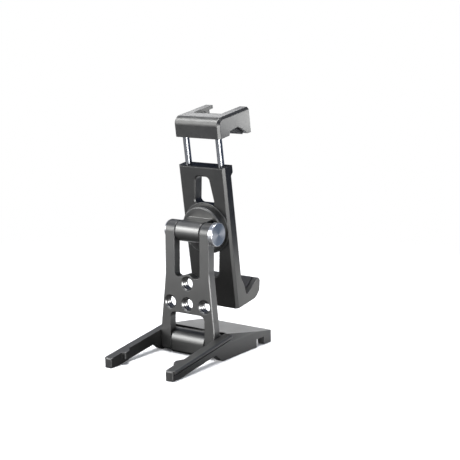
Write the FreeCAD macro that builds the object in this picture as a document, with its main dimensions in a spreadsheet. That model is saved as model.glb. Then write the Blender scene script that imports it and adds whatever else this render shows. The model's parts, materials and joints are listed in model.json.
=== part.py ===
import FreeCAD, Part
import Sketcher
import math
import os

# Folding phone clamp on a fork arm and a low desk stand. Millimetres, +Z up, +X along both hinge axes,
# the clamp facing +Y. The origin is on the ground, in the middle of the base's footprint.

# Driving sizes. Heights in the base are above the ground. Arm sizes are from the lower hinge axis, and clamp
# sizes are from the upper hinge axis: depth runs forward from the axis and rise runs up along the clamp.
SIZES = {
    # base
    "prong_width": 3.5,
    "tip_reach": 38.6,
    "nose_reach": 35.7,
    "tip_height": 4.35,
    "crest_reach": 3.0,
    "crest_height": 10.6,
    "nose_height": 5.5,
    "nose_edge": 0.5,
    "bar_depth": 4.9,
    "sole_gap": 0.25,
    "heel_reach": 3.4,
    "heel_back": 8.5,
    "fork_clearance": 0.35,
    "tip_inner_step": 0.3,
    "tip_land": 11.5,
    "tip_edge": 0.4,
    "tab_reach": 31.4,
    "tab_length": 2.6,
    "tab_slant": 2.5,
    "tab_stand": 2.1,
    "tab_round": 1.0,
    "tab_height": 2.9,
    "pocket_radius": 6.4,
    "rim_stand": 0.7,
    "rim_depth": 1.4,
    "rim_stop": 1.2,
    "rim_bevel": 0.65,
    "channel_depth": 0.7,
    "channel_height": 0.9,
    "shoulder_height": 7.5,
    "shoulder_inset": 2.2,
    "nose_round": 1.5,
    "tip_round": 1.0,
    "access_radius": 3.5,
    # rubber feet
    "strip_back": 22.9,
    "strip_front": 29.0,
    "strip_height": 3.9,
    "strip_inset": 2.1,
    "foot_gap": 0.05,
    "tip_foot_length": 6.0,
    "tip_foot_inset": 1.0,
    "tip_foot_share": 0.6,
    "tip_foot_seat": 1.0,
    # lower hinge
    "hinge_height": 5.7,
    "knuckle_radius": 4.7,
    "low_washer_thickness": 0.55,
    "web_back": 7.6,
    "web_dip_reach": 4.0,
    "web_dip_height": 9.2,
    "knuckle_heel": 1.2,
    "pin_radius": 2.0,
    "pin_clearance": 0.05,
    "bolt_head_radius": 3.1,
    "bolt_head_height": 1.5,
    "bolt_head_gap": 0.05,
    "bolt_head_clearance": 0.2,
    "bolt_thread_depth": 3.6,
    "socket_radius": 1.35,
    "socket_depth": 0.8,
    # link arm
    "arm_length": 48.7,
    "arm_thickness": 4.0,
    "arm_rear": 4.5,
    "ear_drop": 4.75,
    "ear_front_radius": 4.7,
    "ear_corner": 2.7,
    "ear_heel_round": 1.3,
    "arm_low_width": 28.7,
    "arm_top_width": 23.1,
    "taper_start": 7.0,
    "taper_end": 33.0,
    "low_window_width": 18.6,
    "low_window_top": 13.05,
    "low_window_round": 2.5,
    "top_window_width": 13.6,
    "top_window_foot": 29.05,
    "top_window_round": 1.7,
    "boss_radius": 4.05,
    "tapped_radius": 2.55,
    "tapped_chamfer": 0.65,
    "tapped_row": 17.2,
    "tapped_top": 26.4,
    "tapped_pitch": 9.19,
    "arm_edge": 0.4,
    # upper hinge
    "cap_radius": 5.1,
    "cap_height": 2.1,
    "cap_edge": 0.25,
    "head_radius": 4.1,
    "head_height": 1.1,
    "head_edge": 0.3,
    "barrel_radius": 4.6,
    "top_washer_thickness": 0.6,
    "washer_radius": 4.2,
    "washer_gap": 0.05,
    # swivel
    "clamp_lean": 9.63,
    "disc_radius": 10.6,
    "disc_drop": 1.5,
    "disc_depth": 6.4,
    "ring_radius": 11.7,
    "ring_bore": 3.2,
    "ring_thickness": 0.4,
    "ring_gap": 0.05,
    "neck_half_height": 4.2,
    "disc_edge": 0.5,
    "pivot_radius": 2.5,
    "pivot_depth": 4.4,
    "pivot_head_radius": 4.0,
    "pivot_head_height": 1.6,
    "pivot_socket_radius": 2.0,
    "counterbore_radius": 4.6,
    "counterbore_depth": 2.2,
    "wave_thickness": 0.3,
    # clamp body
    "body_back": 10.2,
    "body_thickness": 4.9,
    "body_width": 24.6,
    "body_top": 26.2,
    "body_foot": 38.4,
    "top_lip": 1.5,
    "top_lip_rise": 3.2,
    "top_lip_slope": 1.2,
    "flare_start": 25.6,
    "flare_radius": 14.0,
    "groove_step": 2.1,
    "groove_rise": 31.4,
    "groove_foot_step": 0.7,
    "groove_foot": 34.2,
    "ramp_step": 1.1,
    "ramp_drop": 0.2,
    "ramp_run": 8.0,
    "ramp_climb": 4.4,
    "hook_tip_step": 1.4,
    "hook_outer_step": 0.9,
    "hook_outer_drop": 1.5,
    "hook_low_step": 1.1,
    "hook_low_drop": 4.5,
    "hook_heel_step": 2.2,
    "hook_heel_drop": 1.6,
    "hook_sole_step": 1.8,
    "body_chamfer": 1.05,
    "body_top_edge": 0.4,
    "window_wide": 10.6,
    "window_narrow": 6.6,
    "window_low_edge": 8.8,
    "window_high_edge": 21.7,
    "low_window_near": 10.4,
    "low_window_far": 24.15,
    "window_round": 2.0,
    "window_bevel": 0.6,
    # rods, springs and jaw
    "rod_radius": 1.45,
    "rod_spread": 17.36,
    "rod_depth": 13.6,
    "rod_clearance": 0.05,
    "rod_insert": 5.4,
    "rod_end": 11.0,
    "stop_radius": 1.8,
    "stop_height": 1.5,
    "channel_radius": 1.9,
    "spring_foot": 25.3,
    "neck_length": 3.2,
    "wire_width": 0.22,
    "coil_radius": 1.73,
    "coil_pitch": 3.6,
    "pad_width": 22.6,
    "pad_thickness": 0.8,
    "pad_foot": 25.5,
    "pad_top": 21.1,
    "pad_window_gap": 0.5,
    "hook_pad_width": 20.0,
    "jaw_back": 10.0,
    "jaw_reach": 33.5,
    "jaw_foot": 39.0,
    "jaw_top": 47.9,
    "jaw_width": 24.0,
    "jaw_leg": 7.3,
    "arch_back_depth": 18.0,
    "arch_back_rise": 40.65,
    "arch_mid_depth": 24.0,
    "arch_mid_rise": 41.2,
    "arch_front_depth": 26.6,
    "arch_front_rise": 39.9,
    "lip_back_depth": 30.2,
    "lip_back_rise": 37.2,
    "lip_foot_depth": 31.0,
    "lip_foot_rise": 36.6,
    "jaw_round": 3.5,
    "jaw_side_bevel": 1.0,
    "shoe_slot_width": 14.6,
    "shoe_undercut_width": 18.8,
    "shoe_floor": 44.1,
    "shoe_lip": 1.5,
    "shoe_start": 18.8,
    "shoe_round": 1.0,
}

DOC = FreeCAD.newDocument("tripod_phone_mount")
SHEET = DOC.addObject("Spreadsheet::Sheet", "Sizes")


class Measure:
    """A length or ratio: its value now, and the sheet formula that keeps it up to date."""

    def __init__(self, value, text):
        self.value = value
        self.text = text

    def __add__(self, other):
        other = measure(other)
        return Measure(self.value + other.value, "(%s + %s)" % (self.text, other.text))

    def __sub__(self, other):
        other = measure(other)
        return Measure(self.value - other.value, "(%s - %s)" % (self.text, other.text))

    def __mul__(self, other):
        other = measure(other)
        return Measure(self.value * other.value, "(%s * %s)" % (self.text, other.text))

    def __truediv__(self, other):
        other = measure(other)
        return Measure(self.value / other.value, "(%s / %s)" % (self.text, other.text))

    def __neg__(self):
        return Measure(-self.value, "(-1 * %s)" % self.text)


def measure(value):
    """Any number as a measure."""
    if isinstance(value, Measure):
        return value
    return Measure(float(value), repr(float(value)))


def root(length):
    """The square root of a measure."""
    return Measure(math.sqrt(length.value), "sqrt(%s)" % length.text)


class Sheet:
    """The driving sizes by name, each bound to its cell."""


def fill_sheet():
    """Write each driving size to a cell with its name, and hand back the named measures."""
    named = Sheet()
    for row, (name, value) in enumerate(SIZES.items(), start=1):
        SHEET.set("A%d" % row, name)
        SHEET.set("B%d" % row, str(value))
        SHEET.setAlias("B%d" % row, name)
        setattr(named, name, Measure(value, "Sizes." + name))
    DOC.recompute()
    return named


S = fill_sheet()
LEAN_COS = Measure(math.cos(math.radians(SIZES["clamp_lean"])), "cos(Sizes.clamp_lean * 1 deg)")
LEAN_SIN = Measure(math.sin(math.radians(SIZES["clamp_lean"])), "sin(Sizes.clamp_lean * 1 deg)")
ZERO = measure(0)
OVERCUT = measure(3)
NEAR = 0.01
SPRING_BENDS = 8
MITRED = 1

# Places that several pieces share
HINGE_Y = (S.tip_reach - S.nose_reach) / 2
TOP_HINGE_Z = S.hinge_height + S.arm_length
EAR_HALF = S.arm_low_width / 2
FORK_HALF = EAR_HALF + S.fork_clearance
BASE_HALF = FORK_HALF + S.prong_width
LOW_EAR_INNER = S.low_window_width / 2
KNUCKLE_HALF = LOW_EAR_INNER - S.low_washer_thickness - S.washer_gap
TOP_EAR_HALF = S.arm_top_width / 2
TOP_EAR_INNER = S.top_window_width / 2
BARREL_HALF = TOP_EAR_INNER - S.top_washer_thickness - S.washer_gap
ROD_X = S.rod_spread / 2
BODY_HALF = S.body_width / 2
BODY_FRONT = S.body_back + S.body_thickness
BORE_RADIUS = S.pin_radius + S.pin_clearance
BAR_SLOPE = (S.crest_height - S.tip_height) / (S.crest_reach + S.tip_reach)
NOSE_SLOPE = (S.crest_height - S.nose_height) / (S.nose_reach - S.crest_reach)
TIP_INNER = FORK_HALF - S.tip_inner_step
TIP_FOOT_HALF = (BASE_HALF - TIP_INNER) * S.tip_foot_share / 2
TIP_FOOT_X = (BASE_HALF + TIP_INNER) / 2
DISC_FRONT = S.body_back - S.ring_thickness - S.ring_gap
PAD_FACE = BODY_FRONT + S.pad_thickness
RAMP_DEPTH = BODY_FRONT + S.groove_step + S.groove_foot_step + S.ramp_step
RAMP_FOOT = -S.groove_foot - S.ramp_drop
HOOK_TOP = RAMP_FOOT + S.ramp_climb
NODES = []


def bar_top(along):
    """Height of the prong's top face at a place along Y, from the hinge."""
    return S.tip_height + (along + S.tip_reach) * BAR_SLOPE


def new_body(label):
    """An empty body with its own label, listed as a node."""
    body = DOC.addObject("PartDesign::Body", label)
    body.Label = label
    NODES.append(body)
    return body


def origin_plane(body, role):
    """One of the body's own origin planes."""
    return [plane for plane in body.Origin.OriginFeatures if plane.Role == role][0]


def place(piece, x=ZERO, y=HINGE_Y, z=ZERO):
    """Stand a piece upright at a point."""
    piece.setExpression("Placement.Base.x", measure(x).text)
    piece.setExpression("Placement.Base.y", measure(y).text)
    piece.setExpression("Placement.Base.z", measure(z).text)


def seat_in_clamp(piece, x=ZERO, depth=ZERO, rise=ZERO):
    """Put a piece at a depth and rise in the leaning frame of the clamp."""
    piece.Placement = FreeCAD.Placement(FreeCAD.Vector(), FreeCAD.Rotation(FreeCAD.Vector(1, 0, 0), 1))
    piece.setExpression("Placement.Rotation.Angle", "Sizes.clamp_lean * 1 deg")
    place(piece, x, HINGE_Y + depth * LEAN_COS - rise * LEAN_SIN, TOP_HINGE_Z + depth * LEAN_SIN + rise * LEAN_COS)


def new_sketch(body, name, role, lift):
    """A sketch on one of the body's origin planes, lifted along that plane's normal."""
    drawing = body.newObject("Sketcher::SketchObject", body.Label + "_" + name)
    drawing.AttachmentSupport = [(origin_plane(body, role), "")]
    drawing.MapMode = "FlatFace"
    drawing.setExpression("AttachmentOffset.Base.z", measure(lift).text)
    return drawing


def fix_point(drawing, curve, end, point):
    """Hold a point of a sketch at two measures from the sketch's origin."""
    for kind, distance in zip(("DistanceX", "DistanceY"), point):
        held = drawing.addConstraint(Sketcher.Constraint(kind, -1, 1, curve, end, distance.value))
        drawing.setExpression("Constraints[%d]" % held, distance.text)


def arc_between(start, end, radius, side):
    """The shorter arc between two corners. Side 1 puts its centre on the left of the way, -1 on the right."""
    across = end - start
    half = across.Length / 2
    inward = FreeCAD.Vector(-across.y, across.x, 0).normalize() * side
    centre = start + across * 0.5 + inward * math.sqrt(max(radius * radius - half * half, 0))
    circle = Part.Circle(centre, FreeCAD.Vector(0, 0, 1), radius)
    first = circle.parameter(start if side > 0 else end)
    last = circle.parameter(end if side > 0 else start)
    return Part.ArcOfCircle(circle, first, last)


def outline(body, name, role, corners, lift=ZERO):
    """A closed outline. A corner is (across, up), or (across, up, radius, side) where an arc leaves it."""
    drawing = new_sketch(body, name, role, lift)
    corners = [tuple(measure(part) for part in corner[:2]) + tuple(corner[2:]) for corner in corners]
    flat = [FreeCAD.Vector(corner[0].value, corner[1].value, 0) for corner in corners]
    ends = []
    for index, corner in enumerate(corners):
        start = flat[index]
        end = flat[(index + 1) % len(flat)]
        if len(corner) == 2:
            drawing.addGeometry(Part.LineSegment(start, end))
            ends.append((1, 2))
        else:
            drawing.addGeometry(arc_between(start, end, corner[2].value, corner[3]))
            ends.append((1, 2) if corner[3] > 0 else (2, 1))
    for index, (first, last) in enumerate(ends):
        following = (index + 1) % len(ends)
        drawing.addConstraint(Sketcher.Constraint("Coincident", index, last, following, ends[following][0]))
    for index, corner in enumerate(corners):
        fix_point(drawing, index, ends[index][0], corner[:2])
        if len(corner) > 2:
            held = drawing.addConstraint(Sketcher.Constraint("Radius", index, corner[2].value))
            drawing.setExpression("Constraints[%d]" % held, corner[2].text)
    return drawing


def circles(body, name, role, rounds, lift=ZERO):
    """Circles in one sketch, each (across, up, radius)."""
    drawing = new_sketch(body, name, role, lift)
    for index, (across, up, radius) in enumerate(rounds):
        centre = FreeCAD.Vector(measure(across).value, measure(up).value, 0)
        drawing.addGeometry(Part.Circle(centre, FreeCAD.Vector(0, 0, 1), radius.value))
        fix_point(drawing, index, 3, (measure(across), measure(up)))
        held = drawing.addConstraint(Sketcher.Constraint("Radius", index, radius.value))
        drawing.setExpression("Constraints[%d]" % held, radius.text)
    return drawing


def rectangle(left, right, low, high):
    """The corners of an upright rectangle."""
    return [(left, low), (right, low), (right, high), (left, high)]


def hexagon(radius):
    """The corners of a hexagon about the sketch's origin, one of them on the axis across."""
    up = radius * math.sqrt(3) / 2
    return [(radius, ZERO), (radius / 2, up), (-radius / 2, up), (-radius, ZERO), (-radius / 2, -up),
            (radius / 2, -up)]


def checked(body, feature, grows):
    """Recompute, and stop if the feature failed or changed nothing."""
    before = checked.volumes.get(body.Name, 0)
    DOC.recompute()
    after = body.Shape.Volume
    if (after - before if grows else before - after) < NEAR * NEAR:
        raise RuntimeError("%s changed nothing: %.3f to %.3f" % (feature.Name, before, after))
    checked.volumes[body.Name] = after
    return feature


checked.volumes = {}


def extrude(body, kind, drawing, length, way):
    """Pad or pocket a sketch by a length, to both sides or to one."""
    feature = body.newObject("PartDesign::" + kind, drawing.Name + "_" + kind.lower())
    feature.Profile = drawing
    feature.setExpression("Length", measure(length).text)
    if way == "both":
        feature.SideType = "Symmetric"
    feature.Reversed = way == "back"
    drawing.Visibility = False
    return checked(body, feature, kind == "Pad")


def pad(body, drawing, length, way="both"):
    """Add material from a sketch."""
    return extrude(body, "Pad", drawing, length, way)


def pocket(body, drawing, length, way="both"):
    """Cut material with a sketch."""
    return extrude(body, "Pocket", drawing, length, way)


def mirror(body, feature, role="YZ_Plane"):
    """Repeat a pad or pocket on the other side of an origin plane."""
    grows = feature.TypeId == "PartDesign::Pad"
    copy = body.newObject("PartDesign::Mirrored", feature.Name + "_mirror")
    copy.Originals = [feature]
    copy.MirrorPlane = (origin_plane(body, role), [""])
    body.Tip = copy
    return checked(body, copy, grows)


def edges_in(body, x=None, y=None, z=None, test=None):
    """Names of the edges of the body that lie inside the given ranges, in the body's own frame."""
    shape = body.Tip.Shape
    names = []
    for index, edge in enumerate(shape.Edges, start=1):
        box = edge.BoundBox
        spans = ((x, box.XMin, box.XMax), (y, box.YMin, box.YMax), (z, box.ZMin, box.ZMax))
        inside = all(span is None or (span[0] - NEAR <= low and high <= span[1] + NEAR)
                     for span, low, high in spans)
        if inside and (test is None or test(edge)):
            names.append("Edge%d" % index)
    return names


def at(value):
    """A range that holds one place only."""
    value = measure(value).value
    return (value, value)


def between(low, high):
    """A range between two measures."""
    return (measure(low).value, measure(high).value)


def dress(body, kind, name, size, edges):
    """Round or bevel the named edges."""
    if not edges:
        raise RuntimeError("%s %s: no edge found" % (body.Label, name))
    base = body.Tip
    feature = body.newObject("PartDesign::" + kind, body.Label + "_" + name)
    feature.Base = (base, sorted(set(edges)))
    feature.setExpression("Radius" if kind == "Fillet" else "Size", size.text)
    DOC.recompute()
    if not feature.Shape.isValid() or not feature.Shape.Solids:
        raise RuntimeError("%s failed" % feature.Name)
    checked.volumes[body.Name] = body.Shape.Volume
    return feature


def fillet(body, name, radius, edges):
    """Round edges."""
    return dress(body, "Fillet", name, radius, edges)


def chamfer(body, name, size, edges):
    """Bevel edges."""
    return dress(body, "Chamfer", name, size, edges)


def round_edge(radius):
    """A test for circular edges of one radius."""
    def test(edge):
        return hasattr(edge.Curve, "Radius") and abs(edge.Curve.Radius - radius.value) < NEAR
    return test


# Base

def make_base():
    """One machined piece: wedge nose, hinge knuckle and two prongs that slope back to the ground."""
    body = new_body("base_frame")
    place(body)
    tip = -S.tip_reach
    heel = -S.heel_back
    sole_start = tip + (S.sole_gap + S.bar_depth - S.tip_height) / BAR_SLOPE
    side = outline(body, "side", "YZ_Plane", [
        (tip, S.sole_gap),
        (sole_start, S.sole_gap),
        (heel, bar_top(heel) - S.bar_depth),
        (-S.heel_reach, S.sole_gap),
        (S.nose_reach, S.sole_gap),
        (S.nose_reach, S.nose_height - S.nose_edge),
        (S.nose_reach - S.nose_edge, S.nose_height + S.nose_edge * NOSE_SLOPE),
        (S.crest_reach, S.crest_height),
        (tip + S.tip_edge, bar_top(tip + S.tip_edge)),
        (tip, S.tip_height - S.tip_edge),
    ])
    pad(body, side, BASE_HALF * 2)
    cut_fork(body)
    add_knuckle(body)
    cut_edges(body)
    return body


def cut_fork(body):
    """Part the prongs, and clear the arm's ears with a round pocket about the hinge axis."""
    tip = -S.tip_reach
    land_end = tip + S.tip_land
    mouth = TIP_INNER + S.tip_edge
    gap = outline(body, "fork", "XY_Plane", [
        (-mouth, tip - OVERCUT),
        (mouth, tip - OVERCUT),
        (mouth, tip),
        (TIP_INNER, tip + S.tip_edge),
        (TIP_INNER, land_end),
        (FORK_HALF, land_end + S.tip_inner_step),
        (FORK_HALF, ZERO),
        (-FORK_HALF, ZERO),
        (-FORK_HALF, land_end + S.tip_inner_step),
        (-TIP_INNER, land_end),
        (-TIP_INNER, tip + S.tip_edge),
        (-mouth, tip),
    ])
    pocket(body, gap, S.crest_height + OVERCUT, "back")
    ears = circles(body, "ears", "YZ_Plane", [(ZERO, S.hinge_height, S.pocket_radius)])
    pocket(body, ears, FORK_HALF * 2)
    add_tabs(body)


def add_tabs(body):
    """A rounded tab on the inside of each prong, flush with its sloping top."""
    rear = -S.tab_reach
    inner = FORK_HALF - S.tab_stand
    flat_end = rear + S.tab_length
    plan = outline(body, "tab", "XY_Plane", [
        (FORK_HALF + S.tab_round, rear),
        (FORK_HALF + S.tab_round, flat_end + S.tab_slant),
        (FORK_HALF, flat_end + S.tab_slant),
        (inner, flat_end),
        (inner, rear + S.tab_round, S.tab_round, 1),
        (inner + S.tab_round, rear),
    ], bar_top(rear) - S.tab_height)
    mirror(body, pad(body, plan, S.tab_height * 2, "front"))
    over = S.crest_height + OVERCUT
    level = outline(body, "tab_top", "YZ_Plane", [
        (-S.tip_reach, S.tip_height),
        (ZERO, bar_top(ZERO)),
        (ZERO, over),
        (-S.tip_reach, over),
    ])
    pocket(body, level, (FORK_HALF + S.tab_round) * 2)


def add_knuckle(body):
    """The hinge knuckle between the arm's ears, its web to the nose, and the bore."""
    barrel = circles(body, "barrel", "YZ_Plane", [(ZERO, S.hinge_height, S.knuckle_radius)])
    pad(body, barrel, KNUCKLE_HALF * 2)
    web = outline(body, "web", "YZ_Plane", [
        (-S.knuckle_radius, S.hinge_height),
        (-S.knuckle_radius, S.sole_gap + S.knuckle_heel),
        (-S.knuckle_radius + S.knuckle_heel, S.sole_gap),
        (S.web_back, S.sole_gap),
        (S.web_back, S.web_dip_height),
        (S.web_dip_reach, S.web_dip_height),
        (ZERO, S.hinge_height),
    ])
    pad(body, web, KNUCKLE_HALF * 2)
    bore = circles(body, "bore", "YZ_Plane", [(ZERO, S.hinge_height, BORE_RADIUS)])
    pocket(body, bore, KNUCKLE_HALF * 2)
    access = circles(body, "access", "YZ_Plane", [(ZERO, S.hinge_height, S.access_radius)], -BASE_HALF - OVERCUT)
    pocket(body, access, OVERCUT + BASE_HALF - FORK_HALF + NEAR, "back")


def cut_edges(body):
    """The clamping rims and channels on the sides, the shoulders, the notch, the foot seats and the edges."""
    rim_end = -S.tip_reach + S.rim_stop
    rim = outline(body, "rim", "YZ_Plane", [
        (rim_end, bar_top(rim_end) - S.rim_depth),
        (S.crest_reach, S.crest_height - S.rim_depth),
        (S.crest_reach, S.crest_height),
        (rim_end, bar_top(rim_end)),
    ], BASE_HALF)
    mirror(body, pad(body, rim, S.rim_stand, "front"))
    under = S.rim_depth + S.channel_height
    channel = outline(body, "channel", "YZ_Plane", [
        (rim_end, bar_top(rim_end) - under),
        (S.crest_reach, S.crest_height - under),
        (S.crest_reach, S.crest_height - S.rim_depth),
        (rim_end, bar_top(rim_end) - S.rim_depth),
    ], BASE_HALF)
    mirror(body, pocket(body, channel, S.channel_depth, "front"))
    shoulder_rise = S.crest_height - S.shoulder_height
    shoulder = outline(body, "shoulder", "XZ_Plane", [
        (BASE_HALF, S.shoulder_height),
        (BASE_HALF + OVERCUT, S.shoulder_height),
        (BASE_HALF + OVERCUT, S.crest_height + OVERCUT),
        (BASE_HALF - S.shoulder_inset * (shoulder_rise + OVERCUT) / shoulder_rise, S.crest_height + OVERCUT),
    ], -S.crest_reach)
    mirror(body, pocket(body, shoulder, S.nose_reach, "front"))
    notch = outline(body, "notch", "YZ_Plane",
                    rectangle(S.strip_back, S.strip_front, S.sole_gap - OVERCUT, S.strip_height))
    pocket(body, notch, BASE_HALF * 2 + OVERCUT)
    tip_foot_start = -S.tip_reach + S.tip_foot_inset
    seat_half = TIP_FOOT_HALF + S.foot_gap
    seat = outline(body, "tip_seat", "XY_Plane", rectangle(
        TIP_FOOT_X - seat_half, TIP_FOOT_X + seat_half,
        tip_foot_start - S.foot_gap, tip_foot_start + S.tip_foot_length + S.foot_gap))
    mirror(body, pocket(body, seat, S.sole_gap + S.tip_foot_seat, "back"))
    nose = S.nose_reach
    fillet(body, "nose_round", S.nose_round, edges_in(body, y=at(nose), z=between(S.sole_gap, S.nose_height),
                                                      test=is_upright))
    fillet(body, "tip_round", S.tip_round, [
        name for half in (BASE_HALF, -BASE_HALF)
        for name in edges_in(body, x=at(half), y=at(-S.tip_reach), test=is_upright)])
    bevel = edges_in(body, x=at(BASE_HALF + S.rim_stand), test=is_rim_top)
    bevel += edges_in(body, x=at(-BASE_HALF - S.rim_stand), test=is_rim_top)
    chamfer(body, "rim_bevel", S.rim_bevel, bevel)


def is_upright(edge):
    """Straight edges along Z."""
    box = edge.BoundBox
    return box.XLength < NEAR and box.YLength < NEAR


def is_rim_top(edge):
    """The long top edge of a clamping rim."""
    box = edge.BoundBox
    return box.YLength > S.tip_reach.value / 2 and box.ZMax > S.crest_height.value - NEAR


def make_feet():
    """A rubber strip across the nose and a small rubber foot under each prong tip."""
    strip = new_body("front_foot_strip")
    place(strip)
    half = BASE_HALF - S.strip_inset
    back = S.strip_back + S.foot_gap
    front = S.strip_front - S.foot_gap
    radius = (front - back) / 2
    middle = (front + back) / 2
    plan = outline(strip, "plan", "XY_Plane", [
        (-half + radius, back),
        (half - radius, back, radius, 1),
        (half, middle, radius, 1),
        (half - radius, front),
        (-half + radius, front, radius, 1),
        (-half, middle, radius, 1),
    ])
    pad(strip, plan, S.strip_height, "front")
    start = -S.tip_reach + S.tip_foot_inset
    for name, side in (("left", -1), ("right", 1)):
        foot = new_body("tip_foot_" + name)
        place(foot, TIP_FOOT_X * side)
        plan = outline(foot, "plan", "XY_Plane", rectangle(
            -TIP_FOOT_HALF, TIP_FOOT_HALF, start, start + S.tip_foot_length))
        pad(foot, plan, S.sole_gap + S.tip_foot_seat, "front")


# Link arm

def make_arm():
    """The fork arm: one plate that tapers upwards, forked at both ends, with four tapped holes."""
    body = new_body("link_arm")
    place(body, z=S.hinge_height)
    low = EAR_HALF
    top = TOP_EAR_HALF
    front = S.arm_thickness - S.arm_rear
    plate = outline(body, "plate", "XZ_Plane", [
        (-low, -S.ear_drop),
        (low, -S.ear_drop),
        (low, S.taper_start),
        (top, S.taper_end),
        (top, S.arm_length),
        (-top, S.arm_length),
        (-top, S.taper_end),
        (-low, S.taper_start),
    ], -front)
    pad(body, plate, S.arm_thickness, "front")
    ears = outline(body, "ears", "YZ_Plane", [
        (-S.arm_rear, -S.ear_drop),
        (ZERO, -S.ear_drop),
        (ZERO, -S.ear_front_radius, S.ear_front_radius, 1),
        (S.ear_front_radius, ZERO, S.ear_front_radius, 1),
        (ZERO, S.ear_front_radius),
        (-S.arm_rear, S.ear_front_radius),
    ])
    pad(body, ears, S.arm_low_width)
    head = circles(body, "head", "YZ_Plane", [(ZERO, S.arm_length, S.arm_rear)])
    pad(body, head, S.arm_top_width)
    reach = S.arm_rear + S.ear_front_radius + OVERCUT
    low_window = outline(body, "low_window", "XZ_Plane", rectangle(
        -LOW_EAR_INNER, LOW_EAR_INNER, -S.ear_drop - OVERCUT, S.low_window_top))
    pocket(body, low_window, reach * 2)
    bump_half = root(S.boss_radius * S.boss_radius
                     - (S.top_window_foot - S.tapped_top) * (S.top_window_foot - S.tapped_top))
    top_window = outline(body, "top_window", "XZ_Plane", [
        (-TOP_EAR_INNER, S.top_window_foot),
        (-bump_half, S.top_window_foot, S.boss_radius, -1),
        (bump_half, S.top_window_foot),
        (TOP_EAR_INNER, S.top_window_foot),
        (TOP_EAR_INNER, S.arm_length + S.arm_rear + OVERCUT),
        (-TOP_EAR_INNER, S.arm_length + S.arm_rear + OVERCUT),
    ])
    pocket(body, top_window, reach * 2)
    cut_ear_corners(body, reach * 2)
    cut_arm_bores(body)
    finish_arm(body)
    return body


def cut_ear_corners(body, through):
    """Round the outer bottom corners of the lower ears, and their heel that sweeps the base's pocket."""
    edge = EAR_HALF
    foot = -S.ear_drop
    corner = outline(body, "ear_corner", "XZ_Plane", [
        (edge, foot + S.ear_corner, S.ear_corner, -1),
        (edge - S.ear_corner, foot),
        (edge - S.ear_corner, foot - OVERCUT),
        (edge + OVERCUT, foot - OVERCUT),
        (edge + OVERCUT, foot + S.ear_corner),
    ])
    mirror(body, pocket(body, corner, through))
    rear = -S.arm_rear
    heel = outline(body, "ear_heel", "YZ_Plane", [
        (rear, foot + S.ear_heel_round, S.ear_heel_round, 1),
        (rear + S.ear_heel_round, foot),
        (rear + S.ear_heel_round, foot - OVERCUT),
        (rear - OVERCUT, foot - OVERCUT),
        (rear - OVERCUT, foot + S.ear_heel_round),
    ])
    pocket(body, heel, S.arm_low_width)


def cut_arm_bores(body):
    """The two hinge bores, the seat of the lower bolt's head and the tapped holes."""
    thread_end = LOW_EAR_INNER + S.bolt_thread_depth
    lower = circles(body, "lower_bore", "YZ_Plane", [(ZERO, ZERO, BORE_RADIUS)], thread_end)
    pocket(body, lower, thread_end + EAR_HALF + OVERCUT, "front")
    seat_radius = S.bolt_head_radius + S.bolt_head_clearance
    seat = circles(body, "head_seat", "YZ_Plane", [(ZERO, ZERO, seat_radius)], -EAR_HALF)
    pocket(body, seat, S.bolt_head_height + S.bolt_head_gap, "back")
    upper = circles(body, "upper_bore", "YZ_Plane", [(ZERO, S.arm_length, BORE_RADIUS)])
    pocket(body, upper, S.arm_top_width)
    holes = [(S.tapped_pitch * step, S.tapped_row, S.tapped_radius) for step in (-1, 0, 1)]
    holes.append((ZERO, S.tapped_top, S.tapped_radius))
    tapped = circles(body, "tapped", "XZ_Plane", holes)
    pocket(body, tapped, S.arm_rear * 2)


def finish_arm(body):
    """Rounded window corners, countersunk holes and broken outer edges."""
    rear = -S.arm_rear
    fillet(body, "low_window_round", S.low_window_round, [
        name for side in (LOW_EAR_INNER, -LOW_EAR_INNER)
        for name in edges_in(body, x=at(side), z=at(S.low_window_top))])
    fillet(body, "top_window_round", S.top_window_round, [
        name for side in (TOP_EAR_INNER, -TOP_EAR_INNER)
        for name in edges_in(body, x=at(side), z=at(S.top_window_foot))])
    chamfer(body, "countersink", S.tapped_chamfer, edges_in(body, y=at(rear), test=round_edge(S.tapped_radius)))
    rim = []
    for side in (1, -1):
        span = between(TOP_EAR_HALF * side, EAR_HALF * side)
        rim += edges_in(body, x=(min(span), max(span)), y=at(rear), z=between(ZERO, S.arm_length - S.arm_rear),
                        test=is_straight)
    chamfer(body, "outer_edges", S.arm_edge, rim)


def is_straight(edge):
    """Straight edges."""
    return edge.Curve.TypeId == "Part::GeomLine"


def make_bolt(label, z, seat_x, head_radius, head_height, shank_end, clearance=ZERO):
    """A hinge bolt along X with a hex socket in its head. The head's under-face is at seat_x, on the left."""
    body = new_body(label)
    place(body, z=z)
    shank = circles(body, "shank", "YZ_Plane", [(ZERO, ZERO, S.pin_radius - clearance)], -seat_x)
    pad(body, shank, seat_x + shank_end, "front")
    head = circles(body, "head", "YZ_Plane", [(ZERO, ZERO, head_radius)], -seat_x)
    pad(body, head, head_height, "back")
    face = -seat_x - head_height
    socket = outline(body, "socket", "YZ_Plane", hexagon(S.socket_radius), face)
    pocket(body, socket, S.socket_depth, "back")
    rim = edges_in(body, x=at(face), test=round_edge(head_radius))
    chamfer(body, "head_edge", S.head_edge, rim)
    return body


def make_washer(label, x, z, thickness, side):
    """A flat friction washer round a hinge bolt, between an ear and the knuckle."""
    disc = DOC.addObject("Part::Cylinder", label + "_disc")
    hole = DOC.addObject("Part::Cylinder", label + "_hole")
    for solid, radius in ((disc, S.washer_radius), (hole, BORE_RADIUS)):
        solid.setExpression("Radius", radius.text)
        solid.setExpression("Height", thickness.text)
    ring = DOC.addObject("Part::Cut", label)
    ring.Label = label
    ring.Base = disc
    ring.Tool = hole
    ring.Placement = FreeCAD.Placement(FreeCAD.Vector(), FreeCAD.Rotation(FreeCAD.Vector(0, 1, 0), 90))
    place(ring, x if side > 0 else -x - thickness, HINGE_Y, z)
    NODES.append(ring)
    return ring


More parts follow.
